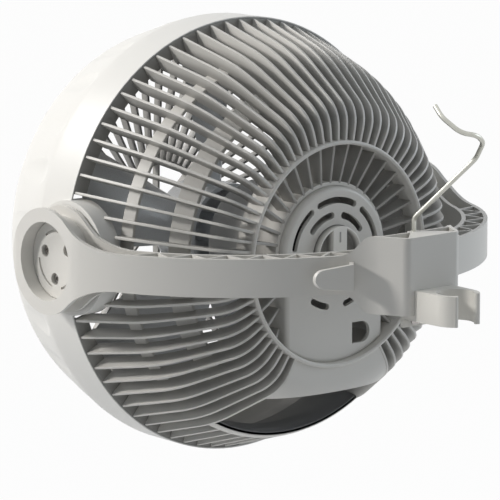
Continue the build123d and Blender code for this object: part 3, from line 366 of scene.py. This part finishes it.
def add_piece(shape, name, body, slot, finishes=None):
    """Makes the piece of a bmesh, smooth but for its sharp edges, riding on its body."""
    mesh = bpy.data.meshes.new(name)
    shape.to_mesh(mesh)
    shape.free()
    mesh.polygons.foreach_set("use_smooth", [True] * len(mesh.polygons))
    mesh.set_sharp_from_angle(angle=radians(SHARP_ANGLE))
    for finish in finishes or (FINISHES[slot],):
        mesh.materials.append(finish)
    piece = bpy.data.objects.new(name, mesh)
    bpy.context.scene.collection.objects.link(piece)
    weigh = piece.modifiers.new("even shading", "WEIGHTED_NORMAL")
    weigh.keep_sharp = True
    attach(piece, body)
    return piece


def take_over(shape, name, node):
    """Makes the piece of a bmesh and puts it in a node's place."""
    body = frame["nodes"][node]["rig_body"]
    piece = add_piece(shape, name, body, SLOT_OF[node], OWN_FINISHES.get(node))
    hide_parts(node)


def round_corners(shape, edge, segments, corner=CORNER_ANGLE):
    """Rounds every edge of the shape that turns by more than the corner angle."""
    corners = [e for e in shape.edges if e.is_manifold and e.calc_face_angle(0) > radians(corner)]
    bmesh.ops.bevel(
        shape,
        geom=corners,
        offset=edge * MM,
        offset_type="OFFSET",
        segments=segments,
        profile=0.5,
        affect="EDGES",
        clamp_overlap=True,
        material=-1,
    )
    bmesh.ops.triangulate(shape, faces=[f for f in shape.faces if len(f.verts) > 4])


def soften(node, name, edge, segments):
    """A moulding in a node's place: the node's shape with its corners rounded."""
    shape = bmesh.new()
    shape.from_mesh(frame["nodes"][node].data)
    bmesh.ops.remove_doubles(shape, verts=shape.verts, dist=MERGE_DISTANCE * MM)
    bmesh.ops.dissolve_limit(
        shape, angle_limit=radians(FLAT_ANGLE), verts=shape.verts, edges=shape.edges, delimit={"NORMAL"}
    )
    round_corners(shape, edge, segments)
    take_over(shape, name, node)


# ---- shapes turned about the fan's axis, in millimetres from the pivot --------------------------------

HOOP_STEP = 2.5
BEND_STEPS = 7


def spot(radius, back, angle, aside=0.0):
    """A place at a radius from the fan's axis, an angle round it and a distance behind the pivot."""
    turn = radians(angle)
    across = Vector((radius * cos(turn) - aside * sin(turn), back, radius * sin(turn) + aside * cos(turn)))
    return PIVOT + across * MM


def add_slab(shape, outline, angle, thickness):
    """A flat plate that stands in the plane of the fan's axis."""
    corners = [shape.verts.new(spot(radius, back, angle, -thickness / 2)) for radius, back in outline]
    face = shape.faces.new(corners)
    grown = bmesh.ops.extrude_face_region(shape, geom=[face])["geom"]
    far_side = spot(0, 0, angle, thickness / 2) - spot(0, 0, angle, -thickness / 2)
    bmesh.ops.translate(shape, verts=[v for v in grown if isinstance(v, bmesh.types.BMVert)], vec=far_side)


def add_hoop(shape, outline, start=0.0, sweep=360.0):
    """An outline swept round the fan's axis, closed at its ends unless it goes all the way."""
    corners = [shape.verts.new(spot(radius, back, start)) for radius, back in outline]
    edges = [shape.edges.new((corners[k - 1], corners[k])) for k in range(len(corners))]
    whole = sweep >= 360.0
    spun = bmesh.ops.spin(
        shape,
        geom=corners + edges,
        cent=PIVOT,
        axis=(0, -1, 0),
        angle=radians(sweep),
        steps=round(sweep / HOOP_STEP),
        use_merge=whole,
        use_duplicate=False,
    )
    if not whole:
        last = [e for e in spun["geom_last"] if isinstance(e, bmesh.types.BMEdge)]
        bmesh.ops.edgeloop_fill(shape, edges=edges)
        bmesh.ops.edgeloop_fill(shape, edges=last)


def rounded(corners, radii):
    """A line through corners, each but the ends rounded by its radius."""
    points = [Vector(corners[0])]
    for k, radius in enumerate(radii, 1):
        corner = Vector(corners[k])
        before = (Vector(corners[k - 1]) - corner).normalized()
        after = (Vector(corners[k + 1]) - corner).normalized()
        half = before.angle(after) / 2
        middle = corner + (before + after).normalized() * (radius / sin(half))
        first = corner + before * (radius / tan(half)) - middle
        last = corner + after * (radius / tan(half)) - middle
        for step in range(BEND_STEPS + 1):
            points.append(middle + first.slerp(last, step / BEND_STEPS).normalized() * radius)
    return points + [Vector(corners[-1])]


# ---- rear grille: fins of even depth with hoops behind them and a ledge at their feet -----------------

# The rim that the fins stand on, and the ledge inside it
RIM_R = 115.1
RIM_WALL = 2.4
RIM_DEPTH = 10.0
LEDGE_R = 107.0
LEDGE_WALL = 2.0
RIM_EDGE = 0.3

# The fins, and the dome's outline from the rim over a bend and a shoulder to the ring
FINS = 74
FIN_STEP = 360 / FINS
FIN_THICKNESS = 1.5
FIN_DEPTH = 8.8
FIN_EDGE = 0.32
BEND = Vector((102.9, 40.6))
BEND_R = 75.0
SHOULDER = Vector((75.9, 80.5))
SHOULDER_R = 18.0
LEAST_BEND_R = 1.0

# The ring that the fins end on
RING_R = 58.4
RING_WIDTH = 2.2
RING_FRONT = 68.0
RING_EDGE = 1.0
RING_EDGE_STEPS = 4
RING_CORNER_ANGLE = 60.0

# The hoops, by where they start and end behind the pivot
HOOPS = ((24.6, 31.6), (49.3, 58.2))
HOOP_THICKNESS = 1.6
HOOP_SINK = 0.2
HOOP_EDGE = 0.4

# The mouth at the bottom, with its rim and the short fins and the lip below it
MOUTH_HALF_ANGLE = 29.0
MOUTH_START = -90 - MOUTH_HALF_ANGLE
MOUTH_SWEEP = 2 * MOUTH_HALF_ANGLE
MOUTH_RIM = (35.2, 39.2)
MOUTH_RIM_WALL = 2.2
SHORT_FIN_DEPTH = 8.0
LIP_BEND = 0.6 * SHORT_FIN_DEPTH

# The chin panel above the mouth
CHIN_WALL = 2.4
CHIN_INSET = 0.3
CHIN_DROP = 73.0
CHIN_R = 86.0
CHIN_EDGE = 0.4

# The motor's cover, the ring round it and the spokes between that and the fins' ring
COVER_R = 35.1
COVER_HALF = 33.1
HUB_RING_WALL = 2.2
HUB_RING_FRONT = 54.7
SPOKE_REAR = 74.0
SPOKE_FRONT = 64.0
SPOKE_RISE = 3.5

# The bosses for the motor plate's screws
PLATE_SCREW_R = 41.5
PLATE_SCREW_ANGLES = (-10.0, 60.0, 120.0, 190.0)
PLATE_BOSS_R = 5.2
PLATE_BOSS_LENGTH = 9.0
PLATE_BOSS_SIDES = 24

# The shroud's side bosses, which the fins and the rim go round
BOSS_X = 101.6
BOSS_R = 31.4
BOSS_CLEARANCE_ANGLE = 0.4
LEAST_SIDEWAYS = 0.01


def dome_line(inset):
    """The dome's outline from the rim to the ring, drawn inwards by inset."""
    first = (BEND - Vector((RIM_R, 0))).normalized()
    second = (SHOULDER - BEND).normalized()
    third = Vector((-1.0, 0.0))
    inwards = [Vector((-way.y, way.x)) for way in (first, second, third)]
    bend = BEND + (inwards[0] + inwards[1]) * (inset / (1 + inwards[0].dot(inwards[1])))
    shoulder = SHOULDER + (inwards[1] + inwards[2]) * (inset / (1 + inwards[1].dot(inwards[2])))
    foot = (bend.x - first.x * bend.y / first.y, 0)
    top = (RING_R, SHOULDER.y - inset)
    return rounded((foot, bend, shoulder, top), (BEND_R - inset, max(SHOULDER_R - inset, LEAST_BEND_R)))


def back_at(line, radius):
    """How far behind the pivot a line passes a radius."""
    for before, after in zip(line, line[1:]):
        if after.x <= radius <= before.x and before.x > after.x:
            return before.y + (after.y - before.y) * (before.x - radius) / (before.x - after.x)
    return line[-1].y


def radius_at(line, back):
    """Where a line that runs backwards passes a distance behind the pivot."""
    for before, after in zip(line, line[1:]):
        if before.y <= back <= after.y and after.y > before.y:
            return before.x + (after.x - before.x) * (back - before.y) / (after.y - before.y)
    return line[-1].x


def flank_radius(across, angle):
    """The radius at which an upright plane, that far across from the axis, is met at an angle."""
    return across / max(abs(cos(radians(angle))), LEAST_SIDEWAYS)


def fin_outline(angle):
    """A fin's outline; beside the shroud's bosses its foot is cut away round them."""
    outer, inner = dome_line(0), dome_line(FIN_DEPTH)
    side_r = flank_radius(BOSS_X, angle)
    height = RIM_R * sin(radians(angle))
    start = sqrt(max(BOSS_R**2 - height**2, 0)) if side_r < RIM_R else 0.0
    foot = min(HOOPS[0][0], start)
    points = [(radius_at(outer, start), start)] + [(p.x, p.y) for p in outer if p.y > start]
    points += [(p.x, p.y) for p in reversed(inner) if p.y > foot]
    points.append((radius_at(inner, foot), foot))
    if start:
        points.append((side_r, foot))
        if start > foot:
            points.append((side_r, start))
    return points


def short_fin_outline():
    """A fin below the mouth, from the rim up to the mouth's own rim."""
    top = MOUTH_RIM[0] + HOOP_THICKNESS
    tip = radius_at(dome_line(0), top)
    outside = [(RIM_R, 0), (tip, top), (tip - MOUTH_RIM_WALL / 2, top)]
    inside = [(tip - SHORT_FIN_DEPTH / 2, top - SHORT_FIN_DEPTH), (RIM_R - SHORT_FIN_DEPTH, 0)]
    return outside + inside


def spoke_outline(angle):
    """A spoke from the cover, or from the flank of its panel, out to the ring; nothing if too short."""
    start = COVER_R + HUB_RING_WALL / 2
    if sin(radians(angle)) < 0:
        start = max(start, flank_radius(COVER_HALF + FIN_THICKNESS, angle))
    if start >= RING_R - RING_WIDTH:
        return None
    rear = [(start, SPOKE_REAR), (RING_R, SPOKE_REAR + SPOKE_RISE)]
    front = [(RING_R, RING_FRONT), (start, SPOKE_FRONT)]
    return rear + front


def make_fins():
    """The long and short fins, with a spoke in line with every other one."""
    fins = bmesh.new()
    for k in range(FINS):
        angle = 90 + k * FIN_STEP
        below_mouth = abs(k - FINS / 2) * FIN_STEP <= MOUTH_HALF_ANGLE
        fin = short_fin_outline() if below_mouth else fin_outline(angle)
        add_slab(fins, fin, angle, FIN_THICKNESS)
        spoke = spoke_outline(angle)
        if spoke and k % 2 == 0:
            add_slab(fins, spoke, angle, FIN_THICKNESS)
    round_corners(fins, FIN_EDGE, 2)
    return fins


def hoop_outline(front, back):
    """A flat hoop that lies on the fins' inner edges, sunk a little into them."""
    near, far = dome_line(FIN_DEPTH - HOOP_SINK), dome_line(FIN_DEPTH - HOOP_SINK - HOOP_THICKNESS)
    return [
        (radius_at(near, front), front),
        (radius_at(far, front), front),
        (radius_at(far, back), back),
        (radius_at(near, back), back),
    ]


def mouth_rim_outline():
    """The band that runs round the mouth's lower side, flush with the dome's skin."""
    (front, back), outer = MOUTH_RIM, dome_line(0)
    low, high = radius_at(outer, front), radius_at(outer, back)
    return [(low, front), (high, back), (high - MOUTH_RIM_WALL, back), (low - MOUTH_RIM_WALL, front)]


def add_plate_boss(shape, angle):
    """A round boss for one of the motor plate's screws."""
    middle = spot(PLATE_SCREW_R, HUB_RING_FRONT + PLATE_BOSS_LENGTH / 2, angle)
    bmesh.ops.create_cone(
        shape,
        cap_ends=True,
        segments=PLATE_BOSS_SIDES,
        radius1=PLATE_BOSS_R * MM,
        radius2=PLATE_BOSS_R * MM,
        depth=PLATE_BOSS_LENGTH * MM,
        matrix=Matrix.Translation(middle) @ Matrix.Rotation(pi / 2, 4, "X"),
    )


def make_hoops():
    """The hoops, open at the mouth, the mouth's rim, the ring round the cover and the screw bosses."""
    hoops = bmesh.new()
    for front, back in HOOPS:
        add_hoop(hoops, hoop_outline(front, back), MOUTH_START + MOUTH_SWEEP, 360 - MOUTH_SWEEP)
    near, far = COVER_R, COVER_R + HUB_RING_WALL
    start = -degrees(acos(COVER_HALF / far))
    hub_ring = [(near, HUB_RING_FRONT), (far, HUB_RING_FRONT), (far, SPOKE_REAR), (near, SPOKE_REAR)]
    add_hoop(hoops, hub_ring, start, 180 - 2 * start)
    add_hoop(hoops, mouth_rim_outline(), MOUTH_START, MOUTH_SWEEP)
    for angle in PLATE_SCREW_ANGLES:
        add_plate_boss(hoops, angle)
    round_corners(hoops, HOOP_EDGE, 2)
    return hoops


def make_lip():
    """The smooth wall behind the short fins."""
    lip = bmesh.new()
    tip = radius_at(dome_line(0), MOUTH_RIM[0])
    wall = [
        (tip - MOUTH_RIM_WALL, MOUTH_RIM[1]),
        (tip - LIP_BEND, MOUTH_RIM[0] - SHORT_FIN_DEPTH),
        (RIM_R - SHORT_FIN_DEPTH, -LEDGE_WALL / 2),
    ]
    wall += [(radius - HOOP_THICKNESS, back) for radius, back in reversed(wall)]
    add_hoop(lip, wall, MOUTH_START, MOUTH_SWEEP)
    return lip


def make_rim():
    """The rim and its ledge, in an upper and a lower half between the shroud's bosses."""
    rim = bmesh.new()
    inner_r = RIM_R - RIM_WALL
    outline = [(RIM_R, 0), (RIM_R, -RIM_DEPTH), (inner_r, -RIM_DEPTH), (inner_r, -LEDGE_WALL)]
    outline += [(LEDGE_R, -LEDGE_WALL), (LEDGE_R, 0)]
    boss_angle = degrees(asin(BOSS_R / LEDGE_R)) - BOSS_CLEARANCE_ANGLE
    for start in (boss_angle, 180 + boss_angle):
        add_hoop(rim, outline, start, 180 - 2 * boss_angle)
    round_corners(rim, RIM_EDGE, 2)
    return rim


def make_ring():
    """The ring that the fins end on, with a round rear edge."""
    ring = bmesh.new()
    near, far = RING_R - RING_WIDTH / 2, RING_R + RING_WIDTH / 2
    add_hoop(ring, [(near, RING_FRONT), (far, RING_FRONT), (far, RING_REAR), (near, RING_REAR)])
    round_corners(ring, RING_EDGE, RING_EDGE_STEPS, RING_CORNER_ANGLE)
    return ring


def make_chin():
    """The closed panel between the ring and the mouth, cut off level at its lower edge."""
    chin = bmesh.new()
    outer, inner = dome_line(CHIN_INSET), dome_line(CHIN_INSET + CHIN_WALL)
    outside = [(CHIN_R, back_at(outer, CHIN_R))] + [(p.x, p.y) for p in outer if p.x < CHIN_R]
    inside = [(CHIN_R, back_at(inner, CHIN_R))] + [(p.x, p.y) for p in inner if p.x < CHIN_R]
    add_hoop(chin, outside + inside[::-1], MOUTH_START, MOUTH_SWEEP)
    cut = bmesh.ops.bisect_plane(
        chin,
        geom=chin.verts[:] + chin.edges[:] + chin.faces[:],
        plane_co=PIVOT - Vector((0, 0, CHIN_DROP * MM)),
        plane_no=(0, 0, -1),
        clear_outer=True,
    )["geom_cut"]
    bmesh.ops.holes_fill(chin, edges=[e for e in cut if isinstance(e, bmesh.types.BMEdge)])
    round_corners(chin, CHIN_EDGE, 2)
    return chin


def make_grille():
    """The dome as one piece, its shapes numbered by their places in the grille's own finishes."""
    grille = bmesh.new()
    shapes = ((make_fins, 0), (make_hoops, 1), (make_ring, 1), (make_chin, 1), (make_lip, 2), (make_rim, 3))
    for make_shape, finish in shapes:
        shape = make_shape()
        for face in shape.faces:
            face.material_index = finish
        part = bpy.data.meshes.new("part of the grille")
        shape.to_mesh(part)
        shape.free()
        grille.from_mesh(part)
        bpy.data.meshes.remove(part)
    bmesh.ops.recalc_face_normals(grille, faces=grille.faces)
    take_over(grille, "dome_of_fins", "rear_grille")


# ---- the knob's pointer, a thin line on the end of its grip -------------------------------------------

POINTER_LENGTH = 5.5
POINTER_WIDTH = 0.9
POINTER_THICKNESS = 0.4
POINTER_MIDDLE = 9.2
POINTER_EDGE = 0.12


def make_pointer():
    pointer = bmesh.new()
    bmesh.ops.create_cube(pointer, size=1.0)
    size = Vector((POINTER_WIDTH, POINTER_THICKNESS, POINTER_LENGTH)) * MM
    bmesh.ops.scale(pointer, verts=pointer.verts, vec=size)
    bmesh.ops.translate(pointer, verts=pointer.verts, vec=spot(POINTER_MIDDLE, KNOB_FACE, 90))
    round_corners(pointer, POINTER_EDGE, 2)
    add_piece(pointer, "knob_pointer", "knob", SLOT_OF["speed_knob"], (MARK_PAINT,))


# ---- stage: a pale floor far below, a white surround and plain soft light -----------------------------

FLOOR_DROP = 1.1
FLOOR_HALF = 40.0
FLOOR_GREY = rgb(0.9, 0.9, 0.9)
FLOOR_ROUGHNESS = 0.9
FLOOR_WHITE = 0.97              # how much of the white shows on the floor; the rest is its shadow
SKY_COLOUR = rgb(0.90, 0.95, 1.0)
SKY_LEVEL = 0.27
SKY_WHITE = 1.0

# name, place from the pivot and size in metres, power in watts and colour

LAMPS = (
    ("key", (1.74, -0.81, 0.98), 0.3, 22.0, (1.0, 0.975, 0.945)),
    ("rim", (1.02, -1.43, 1.26), 0.8, 23.0, (1.0, 0.98, 0.955)),
    ("cool", (-1.9, 0.9, 0.5), 1.2, 12.0, (0.82, 0.91, 1.0)),
    ("top", (0.2, 0.5, 2.0), 1.4, 2.5, (0.99, 1.0, 1.0)),
)


def show_white(tree, lit, white, level, output):
    """Sends lit to the output, but mostly white for rays that show the background.

    Those are the rays of the camera, of gloss and through clear pieces.
    """
    paths = tree.nodes.new("ShaderNodeLightPath")
    seen = paths.outputs["Is Camera Ray"]
    for name in ("Is Glossy Ray", "Is Transmission Ray"):
        either = tree.nodes.new("ShaderNodeMath")
        either.operation = "MAXIMUM"
        tree.links.new(seen, either.inputs[0])
        tree.links.new(paths.outputs[name], either.inputs[1])
        seen = either.outputs[0]
    amount = tree.nodes.new("ShaderNodeMath")
    amount.operation = "MULTIPLY"
    amount.inputs[1].default_value = level
    mix = tree.nodes.new("ShaderNodeMixShader")
    tree.links.new(seen, amount.inputs[0])
    tree.links.new(amount.outputs[0], mix.inputs[0])
    tree.links.new(lit, mix.inputs[1])
    tree.links.new(white, mix.inputs[2])
    tree.links.new(mix.outputs[0], output)


def make_surround():
    world = bpy.data.worlds.new("surround")
    bpy.context.scene.world = world
    world.use_nodes = True
    tree = world.node_tree
    sky = tree.nodes["Background"]
    sky.inputs["Color"].default_value = SKY_COLOUR
    sky.inputs["Strength"].default_value = SKY_LEVEL
    plain = tree.nodes.new("ShaderNodeBackground")
    plain.inputs["Color"].default_value = rgb(1.0, 1.0, 1.0)
    show_white(tree, sky.outputs[0], plain.outputs[0], SKY_WHITE, tree.nodes["World Output"].inputs[0])


def make_floor():
    shape = bmesh.new()
    bmesh.ops.create_grid(shape, x_segments=1, y_segments=1, size=FLOOR_HALF)
    bmesh.ops.translate(shape, verts=shape.verts, vec=(0, 0, -FLOOR_DROP))
    mesh = bpy.data.meshes.new("floor")
    shape.to_mesh(mesh)
    shape.free()
    finish = Finish("pale floor")
    finish.set(Base_Color=FLOOR_GREY, Roughness=FLOOR_ROUGHNESS)
    tree = finish.tree
    white = tree.nodes.new("ShaderNodeEmission").outputs[0]
    show_white(tree, finish.shader.outputs[0], white, FLOOR_WHITE, tree.nodes["Material Output"].inputs[0])
    mesh.materials.append(finish.material)
    floor = bpy.data.objects.new("floor", mesh)
    bpy.context.scene.collection.objects.link(floor)


def make_lamp(name, place, size, power, colour):
    data = bpy.data.lights.new(name, "AREA")
    data.shape = "DISK"
    data.size = size
    data.energy = power
    data.color = colour
    light = bpy.data.objects.new(name, data)
    light.location = PIVOT + Vector(place)
    light.rotation_euler = (-Vector(place)).to_track_quat("-Z", "Y").to_euler()
    bpy.context.scene.collection.objects.link(light)


# ---- all of it ------------------------------------------------------------------------------------------

make_camera()
make_surround()
make_floor()
for row in LAMPS:
    make_lamp(*row)

dress_nodes()
for row in MOULDINGS:
    soften(*row)
make_grille()
make_pointer()

bpy.context.scene.view_settings.view_transform = "Standard"
